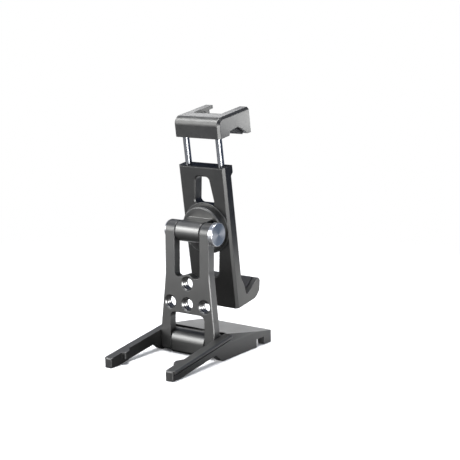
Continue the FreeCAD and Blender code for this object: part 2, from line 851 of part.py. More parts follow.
def make_hinge_hardware():
    """The bolts, the cap nut and the friction washers of the two hinges."""
    low_seat = EAR_HALF - S.bolt_head_height - S.bolt_head_gap
    make_bolt("lower_hinge_bolt", S.hinge_height, low_seat, S.bolt_head_radius, S.bolt_head_height,
              LOW_EAR_INNER + S.bolt_thread_depth - S.bolt_head_gap)
    make_bolt("upper_hinge_bolt", TOP_HINGE_Z, TOP_EAR_HALF, S.head_radius, S.head_height,
              TOP_EAR_HALF + S.cap_height / 2)
    low_start = KNUCKLE_HALF + S.washer_gap
    top_start = BARREL_HALF + S.washer_gap
    for name, side in (("left", -1), ("right", 1)):
        make_washer("lower_washer_" + name, low_start, S.hinge_height, LOW_EAR_INNER - low_start, side)
        make_washer("upper_washer_" + name, top_start, TOP_HINGE_Z, TOP_EAR_INNER - top_start, side)
    cap = new_body("upper_cap_nut")
    place(cap, z=TOP_HINGE_Z)
    disc = circles(cap, "disc", "YZ_Plane", [(ZERO, ZERO, S.cap_radius)], TOP_EAR_HALF)
    pad(cap, disc, S.cap_height, "front")
    bore = circles(cap, "bore", "YZ_Plane", [(ZERO, ZERO, BORE_RADIUS)], TOP_EAR_HALF)
    pocket(cap, bore, S.cap_height / 2 + S.pin_clearance, "back")
    face = TOP_EAR_HALF + S.cap_height
    chamfer(cap, "rim", S.cap_edge, edges_in(cap, x=at(face), test=round_edge(S.cap_radius)))


# Swivel

def make_swivel():
    """The tilting knuckle with its swivel disc, the pivot screw, the wave washer and the friction ring."""
    body = new_body("swivel_knuckle")
    seat_in_clamp(body)
    barrel = circles(body, "barrel", "YZ_Plane", [(ZERO, ZERO, S.barrel_radius)])
    pad(body, barrel, BARREL_HALF * 2)
    neck = outline(body, "neck", "YZ_Plane", rectangle(
        ZERO, S.disc_depth + S.disc_edge, -S.neck_half_height, S.neck_half_height))
    pad(body, neck, BARREL_HALF * 2)
    disc = circles(body, "disc", "XZ_Plane", [(ZERO, -S.disc_drop, S.disc_radius)], -S.disc_depth)
    pad(body, disc, DISC_FRONT - S.disc_depth, "back")
    bore = circles(body, "bore", "YZ_Plane", [(ZERO, ZERO, BORE_RADIUS)])
    pocket(body, bore, BARREL_HALF * 2)
    tapped = circles(body, "tapped", "XZ_Plane", [(ZERO, -S.disc_drop, S.pivot_radius + S.rod_clearance)],
                     -DISC_FRONT)
    pocket(body, tapped, S.pivot_depth, "back")
    chamfer(body, "rim", S.disc_edge, edges_in(body, y=at(S.disc_depth), test=round_edge(S.disc_radius)))
    floor = BODY_FRONT - S.counterbore_depth
    seat = floor + S.ring_gap + S.wave_thickness
    screw = new_body("swivel_screw")
    seat_in_clamp(screw, rise=-S.disc_drop)
    shank = circles(screw, "shank", "XZ_Plane", [(ZERO, ZERO, S.pivot_radius)], -seat)
    pad(screw, shank, seat - DISC_FRONT + S.pivot_depth - S.ring_gap, "front")
    head = circles(screw, "head", "XZ_Plane", [(ZERO, ZERO, S.pivot_head_radius)], -seat)
    pad(screw, head, S.pivot_head_height, "back")
    socket = outline(screw, "socket", "XZ_Plane", hexagon(S.pivot_socket_radius), -seat - S.pivot_head_height)
    pocket(screw, socket, S.socket_depth, "back")
    make_ring("swivel_wave_washer", floor + S.ring_gap, S.wave_thickness, S.pivot_head_radius)
    make_ring("swivel_friction_ring", DISC_FRONT, S.ring_thickness, S.ring_radius, S.ring_bore)


def make_ring(label, depth, thickness, outer, inner=None):
    """A flat ring about the swivel axis."""
    ring = new_body(label)
    seat_in_clamp(ring, rise=-S.disc_drop)
    face = circles(ring, "face", "XZ_Plane", [
        (ZERO, ZERO, outer), (ZERO, ZERO, inner or S.pivot_radius + S.rod_clearance)], -depth)
    pad(ring, face, thickness, "back")
    return ring


# Clamp body

def make_clamp_body():
    """The plate with its hook, windows, swivel seat and the two spring channels."""
    body = new_body("clamp_body")
    seat_in_clamp(body)
    back = S.body_back
    hook_tip = RAMP_DEPTH + S.ramp_run + S.hook_tip_step
    outer = hook_tip + S.hook_outer_step
    low = outer - S.hook_low_step
    low_rise = HOOK_TOP - S.hook_outer_drop - S.hook_low_drop
    heel = low - S.hook_heel_step
    side = outline(body, "side", "YZ_Plane", [
        (back, -S.body_foot),
        (heel - S.hook_sole_step, -S.body_foot),
        (heel, low_rise - S.hook_heel_drop),
        (low, low_rise),
        (outer, HOOK_TOP - S.hook_outer_drop),
        (hook_tip, HOOK_TOP),
        (RAMP_DEPTH + S.ramp_run, HOOK_TOP),
        (RAMP_DEPTH, RAMP_FOOT),
        (BODY_FRONT + S.groove_step + S.groove_foot_step, -S.groove_foot),
        (BODY_FRONT + S.groove_step, -S.groove_rise, S.flare_radius, 1),
        (BODY_FRONT, -S.flare_start),
        (BODY_FRONT, S.body_top - S.top_lip_rise - S.top_lip_slope),
        (BODY_FRONT + S.top_lip, S.body_top - S.top_lip_rise),
        (BODY_FRONT + S.top_lip, S.body_top),
        (back + S.body_top_edge, S.body_top),
        (back, S.body_top - S.body_top_edge),
    ])
    pad(body, side, S.body_width)
    through = (BODY_FRONT + OVERCUT) * 2
    for name, corners in window_corners(ZERO).items():
        pocket(body, outline(body, name, "XZ_Plane", corners), through)
    bore = circles(body, "pivot", "XZ_Plane", [(ZERO, -S.disc_drop, S.pivot_radius + S.rod_clearance)])
    pocket(body, bore, through)
    seat = circles(body, "counterbore", "XZ_Plane", [(ZERO, -S.disc_drop, S.counterbore_radius)], -BODY_FRONT)
    pocket(body, seat, S.counterbore_depth, "back")
    cut_channels(body)
    edges = edges_in(body, x=at(BODY_HALF), y=at(back)) + edges_in(body, x=at(-BODY_HALF), y=at(back))
    chamfer(body, "side_bevel", S.body_chamfer, edges)
    corners = []
    for low, high in ((S.window_low_edge, S.window_high_edge), (-S.low_window_far, -S.low_window_near)):
        corners += edges_in(body, x=between(-S.window_wide / 2, S.window_wide / 2), z=between(low, high),
                            test=lambda edge: edge.BoundBox.YLength > S.body_thickness.value / 2)
    fillet(body, "window_round", S.window_round, corners)
    mouths = []
    for low, high in ((S.window_low_edge, S.window_high_edge), (-S.low_window_far, -S.low_window_near)):
        mouths += edges_in(body, x=between(-S.window_wide / 2, S.window_wide / 2), y=at(back),
                           z=between(low, high))
    chamfer(body, "window_bevel", S.window_bevel, mouths)
    return body


def window_corners(margin):
    """The corners of the two windows, grown by a margin."""
    wide = S.window_wide / 2 + margin
    narrow = S.window_narrow / 2 + margin
    upper_low = S.window_low_edge - margin
    upper_high = S.window_high_edge + margin
    lower_low = -S.low_window_far - margin
    lower_high = -S.low_window_near + margin
    return {
        "upper_window": [(-wide, upper_low), (wide, upper_low), (narrow, upper_high), (-narrow, upper_high)],
        "lower_window": [(-narrow, lower_low), (narrow, lower_low), (wide, lower_high), (-wide, lower_high)],
    }


def cut_channels(body):
    """Round-bottomed channels for the springs, open to the pad, and the guide bores at the top."""
    rounds = [(ROD_X * side, S.rod_depth, S.channel_radius) for side in (-1, 1)]
    neck = S.body_top - S.neck_length
    drill = circles(body, "drill", "XY_Plane", rounds, -S.spring_foot)
    pocket(body, drill, S.spring_foot + neck, "back")
    slot = outline(body, "slot", "XZ_Plane", rectangle(
        ROD_X - S.channel_radius, ROD_X + S.channel_radius, -S.spring_foot, neck), -S.rod_depth)
    mirror(body, pocket(body, slot, BODY_FRONT + S.top_lip - S.rod_depth, "front"))
    guides = circles(body, "guides", "XY_Plane", [
        (ROD_X * side, S.rod_depth, S.rod_radius + S.rod_clearance) for side in (-1, 1)], neck)
    pocket(body, guides, S.neck_length + OVERCUT, "back")


def make_pads():
    """The grip pads: the back sheet with its windows, the strip on the hook's ramp and the jaw's pad."""
    sheet = new_body("back_pad")
    seat_in_clamp(sheet)
    half = S.pad_width / 2
    face = outline(sheet, "face", "XZ_Plane", rectangle(-half, half, -S.pad_foot, S.pad_top), -BODY_FRONT)
    pad(sheet, face, S.pad_thickness, "back")
    for name, corners in window_corners(S.pad_window_gap).items():
        pocket(sheet, outline(sheet, name, "XZ_Plane", corners), PAD_FACE * 2 + OVERCUT)
    eye = circles(sheet, "eye", "XZ_Plane", [(ZERO, -S.disc_drop, S.counterbore_radius)])
    pocket(sheet, eye, PAD_FACE * 2 + OVERCUT)
    relief = circles(sheet, "relief", "XY_Plane", [
        (ROD_X * side, S.rod_depth, S.channel_radius) for side in (-1, 1)], -S.pad_foot - OVERCUT)
    pocket(sheet, relief, S.pad_foot + S.pad_top + OVERCUT * 2, "back")
    ramp = new_body("hook_pad")
    seat_in_clamp(ramp)
    length = root(S.ramp_run * S.ramp_run + S.ramp_climb * S.ramp_climb)
    off_depth = S.ramp_climb / length * S.pad_thickness
    off_rise = S.ramp_run / length * S.pad_thickness
    end = RAMP_DEPTH + S.ramp_run
    strip = outline(ramp, "strip", "YZ_Plane", [
        (RAMP_DEPTH, RAMP_FOOT),
        (end, HOOK_TOP),
        (end - off_depth, HOOK_TOP + off_rise),
        (RAMP_DEPTH - off_depth, RAMP_FOOT + off_rise),
    ])
    pad(ramp, strip, S.hook_pad_width)
    arch = new_body("jaw_pad")
    seat_in_clamp(arch)
    thick = S.pad_thickness
    lining = outline(arch, "lining", "YZ_Plane", [
        (S.arch_back_depth, S.arch_back_rise - thick),
        (S.arch_mid_depth, S.arch_mid_rise - thick),
        (S.arch_front_depth - thick / 2, S.arch_front_rise - thick),
        (S.lip_back_depth - thick / 2, S.lip_back_rise - thick),
        (S.lip_back_depth, S.lip_back_rise),
        (S.arch_front_depth, S.arch_front_rise),
        (S.arch_mid_depth, S.arch_mid_rise),
        (S.arch_back_depth, S.arch_back_rise),
    ])
    pad(arch, lining, S.hook_pad_width)


# Spring jaw

def make_jaw():
    """The upper jaw: a hooked block with an accessory shoe cut in its top."""
    body = new_body("top_jaw")
    seat_in_clamp(body)
    side = outline(body, "side", "YZ_Plane", [
        (S.jaw_back, S.jaw_foot),
        (S.jaw_back + S.jaw_leg, S.jaw_foot),
        (S.arch_back_depth, S.arch_back_rise),
        (S.arch_mid_depth, S.arch_mid_rise),
        (S.arch_front_depth, S.arch_front_rise),
        (S.lip_back_depth, S.lip_back_rise),
        (S.lip_foot_depth, S.lip_foot_rise),
        (S.jaw_reach, S.lip_foot_rise),
        (S.jaw_reach, S.jaw_top),
        (S.jaw_back, S.jaw_top),
    ])
    pad(body, side, S.jaw_width)
    lip_under = S.jaw_top - S.shoe_lip
    slot = S.shoe_slot_width / 2
    undercut = S.shoe_undercut_width / 2
    shoe = outline(body, "shoe", "XZ_Plane", [
        (-undercut, S.shoe_floor),
        (undercut, S.shoe_floor),
        (undercut, lip_under),
        (slot, lip_under),
        (slot, S.jaw_top + OVERCUT),
        (-slot, S.jaw_top + OVERCUT),
        (-slot, lip_under),
        (-undercut, lip_under),
    ], -S.shoe_start)
    pocket(body, shoe, S.jaw_reach, "front")
    sockets = circles(body, "sockets", "XY_Plane", [
        (ROD_X * side, S.rod_depth, S.rod_radius + S.pin_clearance) for side in (-1, 1)], S.jaw_foot)
    pocket(body, sockets, S.rod_insert, "back")
    half = S.jaw_width / 2
    fillet(body, "rear_round", S.jaw_round, edges_in(body, y=at(S.jaw_back), z=at(S.jaw_top)))
    closed = []
    for side in (1, -1):
        closed += edges_in(body, x=at(slot * side), y=at(S.shoe_start), z=between(lip_under, S.jaw_top))
        closed += edges_in(body, x=at(undercut * side), y=at(S.shoe_start), z=between(S.shoe_floor, lip_under))
    fillet(body, "shoe_round", S.shoe_round, closed)
    sides = []
    for side in (half, -half):
        sides += edges_in(body, x=at(side), y=at(S.jaw_back))
        sides += edges_in(body, x=at(side), z=at(S.jaw_top))
    chamfer(body, "side_bevel", S.jaw_side_bevel, sides)
    return body


def make_rods():
    """The guide rods pressed into the jaw, their end stops and the springs that pull the jaw down."""
    top = S.jaw_foot + S.rod_insert - S.rod_clearance
    stop_top = -S.rod_end
    neck = S.body_top - S.neck_length
    for name, side in (("left", -1), ("right", 1)):
        rod = new_body("guide_rod_" + name)
        seat_in_clamp(rod, ROD_X * side, S.rod_depth, -S.rod_end - S.stop_height)
        shaft = circles(rod, "shaft", "XY_Plane", [(ZERO, ZERO, S.rod_radius)])
        pad(rod, shaft, top + S.rod_end + S.stop_height, "front")
        stop = new_body("rod_stop_" + name)
        seat_in_clamp(stop, ROD_X * side, S.rod_depth, stop_top - S.stop_height)
        ring = circles(stop, "ring", "XY_Plane", [
            (ZERO, ZERO, S.stop_radius), (ZERO, ZERO, S.rod_radius + S.pin_clearance / 2)])
        pad(stop, ring, S.stop_height, "front")
        make_spring("return_spring_" + name, ROD_X * side, stop_top, neck)


def make_spring(label, x, low, high):
    """A compression spring round a rod, from the stop up to the guide bore. Square wire, eight bends to a turn."""
    half = S.wire_width.value / 2
    coil = S.coil_radius.value
    length = high.value - low.value - S.wire_width.value - 2 * S.rod_clearance.value
    turns = max(1, round(length / S.coil_pitch.value))
    bends = turns * SPRING_BENDS
    path = Part.makePolygon([FreeCAD.Vector(
        coil * math.cos(math.tau * step / SPRING_BENDS),
        coil * math.sin(math.tau * step / SPRING_BENDS),
        length * step / bends) for step in range(bends + 1)])
    corners = [(-half, -half), (half, -half), (half, half), (-half, half), (-half, -half)]
    section = Part.makePolygon([FreeCAD.Vector(coil + across, 0, up) for across, up in corners])
    piece = DOC.addObject("Part::Feature", label)
    piece.Label = label
    piece.Shape = path.makePipeShell([section], True, True, MITRED)
    seat_in_clamp(piece, x, S.rod_depth, low + S.wire_width / 2 + S.rod_clearance)
    NODES.append(piece)


def build():
    """Every piece, from the ground up."""
    make_base()
    make_feet()
    make_arm()
    make_hinge_hardware()
    make_swivel()
    make_clamp_body()
    make_pads()
    make_jaw()
    make_rods()
    DOC.recompute()


def export():
    """Check every object, then write one file for each piece."""
    for item in DOC.Objects:
        if "Invalid" in item.State or "Error" in item.State:
            raise RuntimeError("%s failed: %s" % (item.Name, item.State))
    for node in NODES:
        if node.Shape.isNull() or not node.Shape.isValid() or not node.Shape.Solids:
            raise RuntimeError("%s has no valid shape" % node.Label)
    os.makedirs("parts", exist_ok=True)
    for node in NODES:
        node.Shape.exportStep("parts/%s.step" % node.Label)
        box = node.Shape.BoundBox
        print("%-22s solids %d volume %8.1f  x %6.1f %6.1f  y %6.1f %6.1f  z %6.1f %6.1f" % (
            node.Label, len(node.Shape.Solids), node.Shape.Volume,
            box.XMin, box.XMax, box.YMin, box.YMax, box.ZMin, box.ZMax))


build()
export()
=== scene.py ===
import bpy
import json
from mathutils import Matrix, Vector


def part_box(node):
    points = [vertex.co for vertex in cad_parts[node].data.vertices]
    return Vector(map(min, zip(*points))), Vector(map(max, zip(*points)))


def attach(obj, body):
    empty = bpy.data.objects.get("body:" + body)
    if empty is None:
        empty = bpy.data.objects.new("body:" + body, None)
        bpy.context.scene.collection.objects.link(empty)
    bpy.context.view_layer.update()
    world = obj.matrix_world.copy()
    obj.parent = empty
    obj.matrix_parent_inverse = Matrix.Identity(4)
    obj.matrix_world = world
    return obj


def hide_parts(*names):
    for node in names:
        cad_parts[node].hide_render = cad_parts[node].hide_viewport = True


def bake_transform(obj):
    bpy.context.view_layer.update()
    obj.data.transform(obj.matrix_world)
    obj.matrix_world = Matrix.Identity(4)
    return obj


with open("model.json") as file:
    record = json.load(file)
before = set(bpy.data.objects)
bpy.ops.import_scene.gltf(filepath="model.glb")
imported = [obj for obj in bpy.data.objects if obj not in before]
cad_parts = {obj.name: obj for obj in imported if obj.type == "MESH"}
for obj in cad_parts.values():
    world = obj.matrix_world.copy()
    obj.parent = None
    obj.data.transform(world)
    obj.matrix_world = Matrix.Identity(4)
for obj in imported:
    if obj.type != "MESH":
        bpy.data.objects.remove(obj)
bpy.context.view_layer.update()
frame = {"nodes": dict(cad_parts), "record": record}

import json
import math

import bpy
from bpy.props import FloatProperty, FloatVectorProperty, IntProperty, PointerProperty
from mathutils import Vector

bl_info = {
    "name": "Folding phone mount",
    "version": (1, 0, 0),
    "blender": (4, 5, 0),
    "location": "View3D > Sidebar > Mount",
    "description": "Finishes, threads, springs and studio for a folding phone mount",
    "category": "Object",
}

MM = 0.001
MIDDLE = (0, 0, 0.05)
WHITE = (1.0, 1.0, 1.0)

# name, place, aim, size and power of each lamp, and the nodes that it lights if not all
LAMPS = (
    ("key", (-0.5, -0.66, 0.27), MIDDLE, (0.7, 0.5), 5.5, ()),
    ("top", (0.0, 0.0, 0.9), MIDDLE, (0.5, 0.5), 14.0, ()),
    ("edge", (0.2, -0.145, 0.046), (0, 0, 0.07), (0.12, 0.09), 0.5, ()),
    ("low", (-0.48, -0.61, 0.45), (0, 0, 0.01), (0.7, 0.3), 5.0, ("base_frame",)),
    ("side", (0.038, 0.062, 0.099), (0.012, 0.025, 0.1), (0.04, 0.016), 0.014, ("top_jaw",)),
    ("high", (-0.1, 0.15, 0.178), (0, 0.02, 0.107), (0.1, 0.06), 0.085, ("top_jaw",)),
    ("rim", (-0.34, -0.27, 0.51), (0, 0, 0.1), (0.4, 0.15), 3.0, ("top_jaw",)),
    ("barrel", (-0.5, -0.66, 0.5), (0, 0, 0.055), (0.5, 0.22), 5.5, ("swivel_knuckle",)),
    ("nose", (0.1, 0.13, 0.02), (0.018, 0.02, 0.006), (0.08, 0.03), 0.03, ("base_frame",)),
    ("plate", (-0.13, 0.21, 0.03), (0, 0.02, 0.006), (0.16, 0.04), 0.025, ("base_frame",)),
)

# name, lowest and highest corner, colour and glow of each upright card that only reflections show
CARDS = (
    ("flag", (-0.08, 0.055, 0.06), (-0.005, 0.055, 0.124), (0.02, 0.03, 0.06), 0.0),
    ("glow card", (0.022, 0.06, 0.006), (0.068, 0.06, 0.034), (0.0, 0.0, 0.0), 2.0),
)

# The room, by the direction of a reflection: where each part of it begins and where it is full
AIR_TINT = (0.6, 0.74, 1.15)
WALL_ACROSS = (0.389, -0.722)
WALL_HEIGHT = (0.625, 0.0)
BACKDROP_TURN = (0.75, 1.1667)
BACKDROP_FOOT = (-0.02, 0.2925)
BACKDROP_TOP = (0.42, 0.22)

# The floor as reflections show it, with its painted shade, in metres: where each part of it begins and where
# it is full
OPEN_FLOOR = (0.08, 0.1633)
BACK_FLOOR = (0.06, 0.1225)
LIT_SPOT = (0.065, 0.065, 0.0)
LIT_REACH = (0.09, 0.0)
DARK_SHARE = 0.08
OPEN_SHARE = 0.38
FADE_START = 0.35

# Shares and angles inside the shared node groups
MOTTLE_SCALE = 160.0
SPECK_GAIN = 3.0
EDGE_DOT = (1.0, 0.8333)
# Turn and sharpness of the painted highlight on the cap nut's face
HIGHLIGHT_TURN = 0.12
HIGHLIGHT_POWER = 5.0
FLAT_FACE = 0.9


def colour(name, description, default):
    """A linear colour setting."""
    return FloatVectorProperty(name=name, description=description, subtype="COLOR", size=3,
                               min=0, max=1, default=default)


def factor(name, description, default):
    """A setting from 0 to 1."""
    return FloatProperty(name=name, description=description, subtype="FACTOR", min=0, max=1, default=default)


def number(name, description, default):
    """A plain number of zero or more."""
    return FloatProperty(name=name, description=description, min=0, default=default)


def distance(name, description, default):
    """A length setting in metres."""
    return FloatProperty(name=name, description=description, subtype="DISTANCE", unit="LENGTH",
                         precision=5, default=default)


def place(name, description, default):
    """A point in metres."""
    return FloatVectorProperty(name=name, description=description, subtype="XYZ", unit="LENGTH",
                               default=default)


def count(name, description, default, least):
    """A whole number with a lower limit."""
    return IntProperty(name=name, description=description, default=default, min=least)


class FinishSettings(bpy.types.PropertyGroup):
    """Colours and surface detail of every material."""

    # The four anodised parts are one finish; their colours differ as painted light and shade, the arm and
    # knuckle lightest and the clamp body and jaw darkest.
    base_colour: colour("Base colour", "Anodised base", (0.112, 0.112, 0.110))
    arm_colour: colour("Arm colour", "Anodised arm and knuckle", (0.138, 0.138, 0.135))
    clamp_colour: colour("Clamp colour", "Anodised clamp body", (0.09, 0.09, 0.088))
    jaw_colour: colour("Jaw colour", "Anodised jaw", (0.09, 0.09, 0.088))
    steel_colour: colour("Steel colour", "Bolts, stops, springs and washers of steel", (0.52, 0.53, 0.55))
    nut_colour: colour("Nut colour", "Turned face of the cap nut", (0.09, 0.112, 0.148))
    # Painted highlight colour on the cap nut's face and edges
    nut_highlight_colour: colour("Nut sweep colour", "Bright sweep on the cap nut's face", (0.38, 0.39, 0.41))
    nut_side_colour: colour("Nut side colour", "Polished side of the cap nut", (0.85, 0.86, 0.88))
    chrome_colour: colour("Chrome colour", "Guide rods", (0.4, 0.41, 0.42))
    thread_colour: colour("Thread colour", "Bare metal of the cut threads", (0.3, 0.3, 0.295))
    rubber_colour: colour("Rubber colour", "Feet", (0.75, 0.75, 0.75))
    washer_colour: colour("Washer colour", "Friction washers", (0.03, 0.03, 0.032))
    pad_colour: colour("Pad colour", "Grip pads", (0.022, 0.022, 0.024))
    anodised_roughness: factor("Anodised roughness", "Spread of highlights on the anodised faces", 0.42)
    steel_roughness: factor("Steel roughness", "Spread of highlights on bolts and washers of steel", 0.28)
    nut_roughness: factor("Nut roughness", "Spread of highlights on the cap nut", 0.3)
    rod_roughness: factor("Rod roughness", "Spread of highlights on the guide rods", 0.2)
    wire_roughness: factor("Wire roughness", "Spread of highlights on the spring wire", 0.35)
    thread_roughness: factor("Thread roughness", "Spread of highlights on the cut threads", 0.3)
    washer_roughness: factor("Washer roughness", "Spread of highlights on the friction washers", 0.5)
    pad_roughness: factor("Pad roughness", "Spread of highlights on the grip pads", 0.75)
    foot_roughness: factor("Foot roughness", "Spread of highlights on the feet", 0.65)
    grain_size: distance("Grain size", "Size of the blasted grain", 0.0002)
    grain_depth: distance("Grain depth", "Depth of the blasted grain", 0.000007)
    edge_radius: distance("Edge radius", "Radius that the edges seem to have", 0.00028)
    # Painted highlight on the anodised edges: how much brighter they get, and how far they take it on.
    edge_gain: number("Edge gain", "How many times brighter a worn edge is", 2.2)
    edge_highlight_share: factor("Edge highlight share", "How far the edges take on the worn colour", 0.5)
    ring_pitch: distance("Ring pitch", "Spacing of the turning marks", 0.00016)
    ring_depth: distance("Ring depth", "Depth of the turning marks", 0.0000015)
    ring_haze: factor("Ring haze", "How far the roughness follows the turning marks", 0.03)
    # Share of the painted highlight on the cap nut's face
    highlight_strength: factor("Highlight strength", "How far the cap nut's face takes on the sweep colour", 0.8)
    face_paint: factor("Face paint", "Share of the cap nut's end face that isn't bare metal", 0.6)


class ThreadSettings(bpy.types.PropertyGroup):
    """The screw threads in the arm's tapped holes."""

    pitch: distance("Pitch", "Rise of the thread in one turn", 0.00127)
    depth: distance("Depth", "How far the crest stands in from the wall", 0.00042)
    overlap: distance("Overlap", "How far the root reaches into the wall", 0.00004)
    half_width: factor("Half width", "Half the ridge's width as a share of the pitch", 0.32)
    short: number("Short", "Turns by which the ridge is shorter than the hole", 0.5)
    mouth: distance("Mouth", "Width of the bright bevel at the rear mouth", 0.0003)
    lift: distance("Lift", "How far the bevel's skin stands off the metal", 0.00001)
    steps: count("Steps", "Sections in one turn", 48, 12)
    fade_steps: count("Fade steps", "Sections over which the ridge runs out at its ends", 8, 1)


class SpringSettings(bpy.types.PropertyGroup):
    """The two return springs round the guide rods."""

    wire: distance("Wire", "Diameter of the wire", 0.00022)
    coil: distance("Coil", "Radius of the wire's middle line", 0.00173)
    pitch: distance("Pitch", "Rise in one open turn", 0.0036)
    closed_pitch: number("Closed pitch", "Rise in a closed end turn, as a share of the wire", 1.05)
    steps: count("Steps", "Sections in one turn", 32, 12)
    sides: count("Sides", "Sides of the round wire", 8, 6)


class StudioSettings(bpy.types.PropertyGroup):
    """Camera, floor and room."""

    camera_place: place("Camera place", "Where the camera stands", (0.28764, -0.38331, 0.14133))
    camera_pitch: FloatProperty(name="Camera pitch", description="Angle below level",
                                subtype="ANGLE", default=0.17773)
    camera_turn: FloatProperty(name="Camera turn", description="Angle from +Y towards -X",
                               subtype="ANGLE", default=0.60855)
    lens: number("Lens", "Focal length in millimetres", 88.35)
    sensor: number("Sensor", "Width of the camera's sensor in millimetres", 36)
    near_clip: distance("Near clip", "Nearest distance that the camera sees", 0.01)
    floor_tone: factor("Floor tone", "Brightness of the floor", 0.9)
    floor_grain: distance("Floor grain", "Size of the floor's grain", 0.002)
    floor_reach: distance("Floor reach", "Where the floor fades into the white backdrop", 0.3)
    air_tone: factor("Air tone", "Brightness of the room in reflections", 0.16)
    wall_tone: factor("Wall tone", "Brightness of the pale wall on the left", 0.35)
    backdrop_tone: number("Backdrop tone", "Brightness of the backdrop in reflections", 1.6)


def node(tree, kind, **settings):
    """A shader node with its properties or its unlinked inputs set."""
    made = tree.nodes.new(kind)
    for name, value in settings.items():
        if name in made.bl_rna.properties:
            setattr(made, name, value)
        else:
            made.inputs[name.replace("_", " ")].default_value = value
    return made


def feed(tree, socket, value):
    """Give a socket a link or a plain value."""
    if isinstance(value, bpy.types.NodeSocket):
        tree.links.new(value, socket)
    else:
        socket.default_value = value


def maths(tree, operation, first, second=None, clamp=False):
    """One arithmetic step, with links or numbers."""
    made = node(tree, "ShaderNodeMath", operation=operation, use_clamp=clamp)
    feed(tree, made.inputs[0], first)
    if second is not None:
        feed(tree, made.inputs[1], second)
    return made.outputs[0]


def ramp(tree, value, none, full):
    """0 where the value is at none, 1 where it is at full, and a straight line between them."""
    return maths(tree, "DIVIDE", maths(tree, "SUBTRACT", value, none), full - none, clamp=True)


def vector_maths(tree, operation, first, second=None):
    """One step with vectors, with links or plain vectors. The node is handed back for its outputs."""
    made = node(tree, "ShaderNodeVectorMath", operation=operation)
    feed(tree, made.inputs[0], first)
    if second is not None:
        feed(tree, made.inputs[1], second)
    return made


def split(tree, vector):
    """The X, Y and Z of a vector."""
    made = node(tree, "ShaderNodeSeparateXYZ")
    tree.links.new(vector, made.inputs[0])
    return made.outputs


def here(tree, output="Object"):
    """The object's own coordinates, or another output of the same node."""
    return node(tree, "ShaderNodeTexCoord").outputs[output]


def mixed(tree, share, first, second):
    """Two colours mixed by a share. Each of the three may be a link."""
    made = node(tree, "ShaderNodeMix", data_type="RGBA")
    feed(tree, made.inputs[0], share)
    for socket, value in ((made.inputs[6], first), (made.inputs[7], second)):
        feed(tree, socket, value if isinstance(value, bpy.types.NodeSocket) else (*value, 1.0))
    return made.outputs[2]


def toned(tree, base, tone):
    """A colour times a value."""
    scaled = node(tree, "ShaderNodeVectorMath", operation="SCALE")
    scaled.inputs[0].default_value = base
    tree.links.new(tone, scaled.inputs["Scale"])
    return scaled.outputs[0]


def grey(tone):
    """A grey of one tone."""
    return [tone] * 3


def new_group(name, inputs, outputs):
    """A node group with its sockets, and its input and output nodes."""
    group = bpy.data.node_groups.new(name, "ShaderNodeTree")
    for label, kind, default in inputs:
        socket = group.interface.new_socket(label, in_out="INPUT", socket_type=kind)
        socket.default_value = default
    for label, kind in outputs:
        group.interface.new_socket(label, in_out="OUTPUT", socket_type=kind)
    return group, node(group, "NodeGroupInput"), node(group, "NodeGroupOutput")


def grain_group(name):
    """Fine blasted grain with slow mottling: Height for the bump, Tone about 1, and Gloss about 0."""
    group, given, made = new_group(
        name, [("Size", "NodeSocketFloat", 0.0002), ("Mottle", "NodeSocketFloat", 0.1)],
        [("Height", "NodeSocketFloat"), ("Tone", "NodeSocketFloat"), ("Gloss", "NodeSocketFloat")])
    fine = node(group, "ShaderNodeTexNoise", Detail=3.0, Roughness=0.6)
    slow = node(group, "ShaderNodeTexNoise", Scale=MOTTLE_SCALE, Detail=4.0, Roughness=0.55)
    for noise in (fine, slow):
        group.links.new(here(group), noise.inputs["Vector"])
    group.links.new(maths(group, "DIVIDE", 1.0, given.outputs["Size"]), fine.inputs["Scale"])
    drift = maths(group, "SUBTRACT", slow.outputs["Fac"], 0.5)
    speck = maths(group, "MULTIPLY", maths(group, "SUBTRACT", fine.outputs["Fac"], 0.5), SPECK_GAIN)
    uneven = maths(group, "MULTIPLY", maths(group, "ADD", drift, speck), given.outputs["Mottle"])
    group.links.new(fine.outputs["Fac"], made.inputs["Height"])
    group.links.new(maths(group, "ADD", uneven, 1.0), made.inputs["Tone"])
    group.links.new(drift, made.inputs["Gloss"])
    return group


def edge_group(name):
    """Softened edges: a Normal that rounds them and an Edge mask where they are."""
    group, given, made = new_group(name, [("Radius", "NodeSocketFloat", 0.0002)],
                                   [("Normal", "NodeSocketVector"), ("Edge", "NodeSocketFloat")])
    soft = node(group, "ShaderNodeBevel", samples=6)
    group.links.new(given.outputs["Radius"], soft.inputs["Radius"])
    flat = node(group, "ShaderNodeNewGeometry").outputs["Normal"]
    agreement = vector_maths(group, "DOT_PRODUCT", soft.outputs[0], flat).outputs["Value"]
    group.links.new(soft.outputs[0], made.inputs["Normal"])
    group.links.new(ramp(group, agreement, *EDGE_DOT), made.inputs["Edge"])
    return group


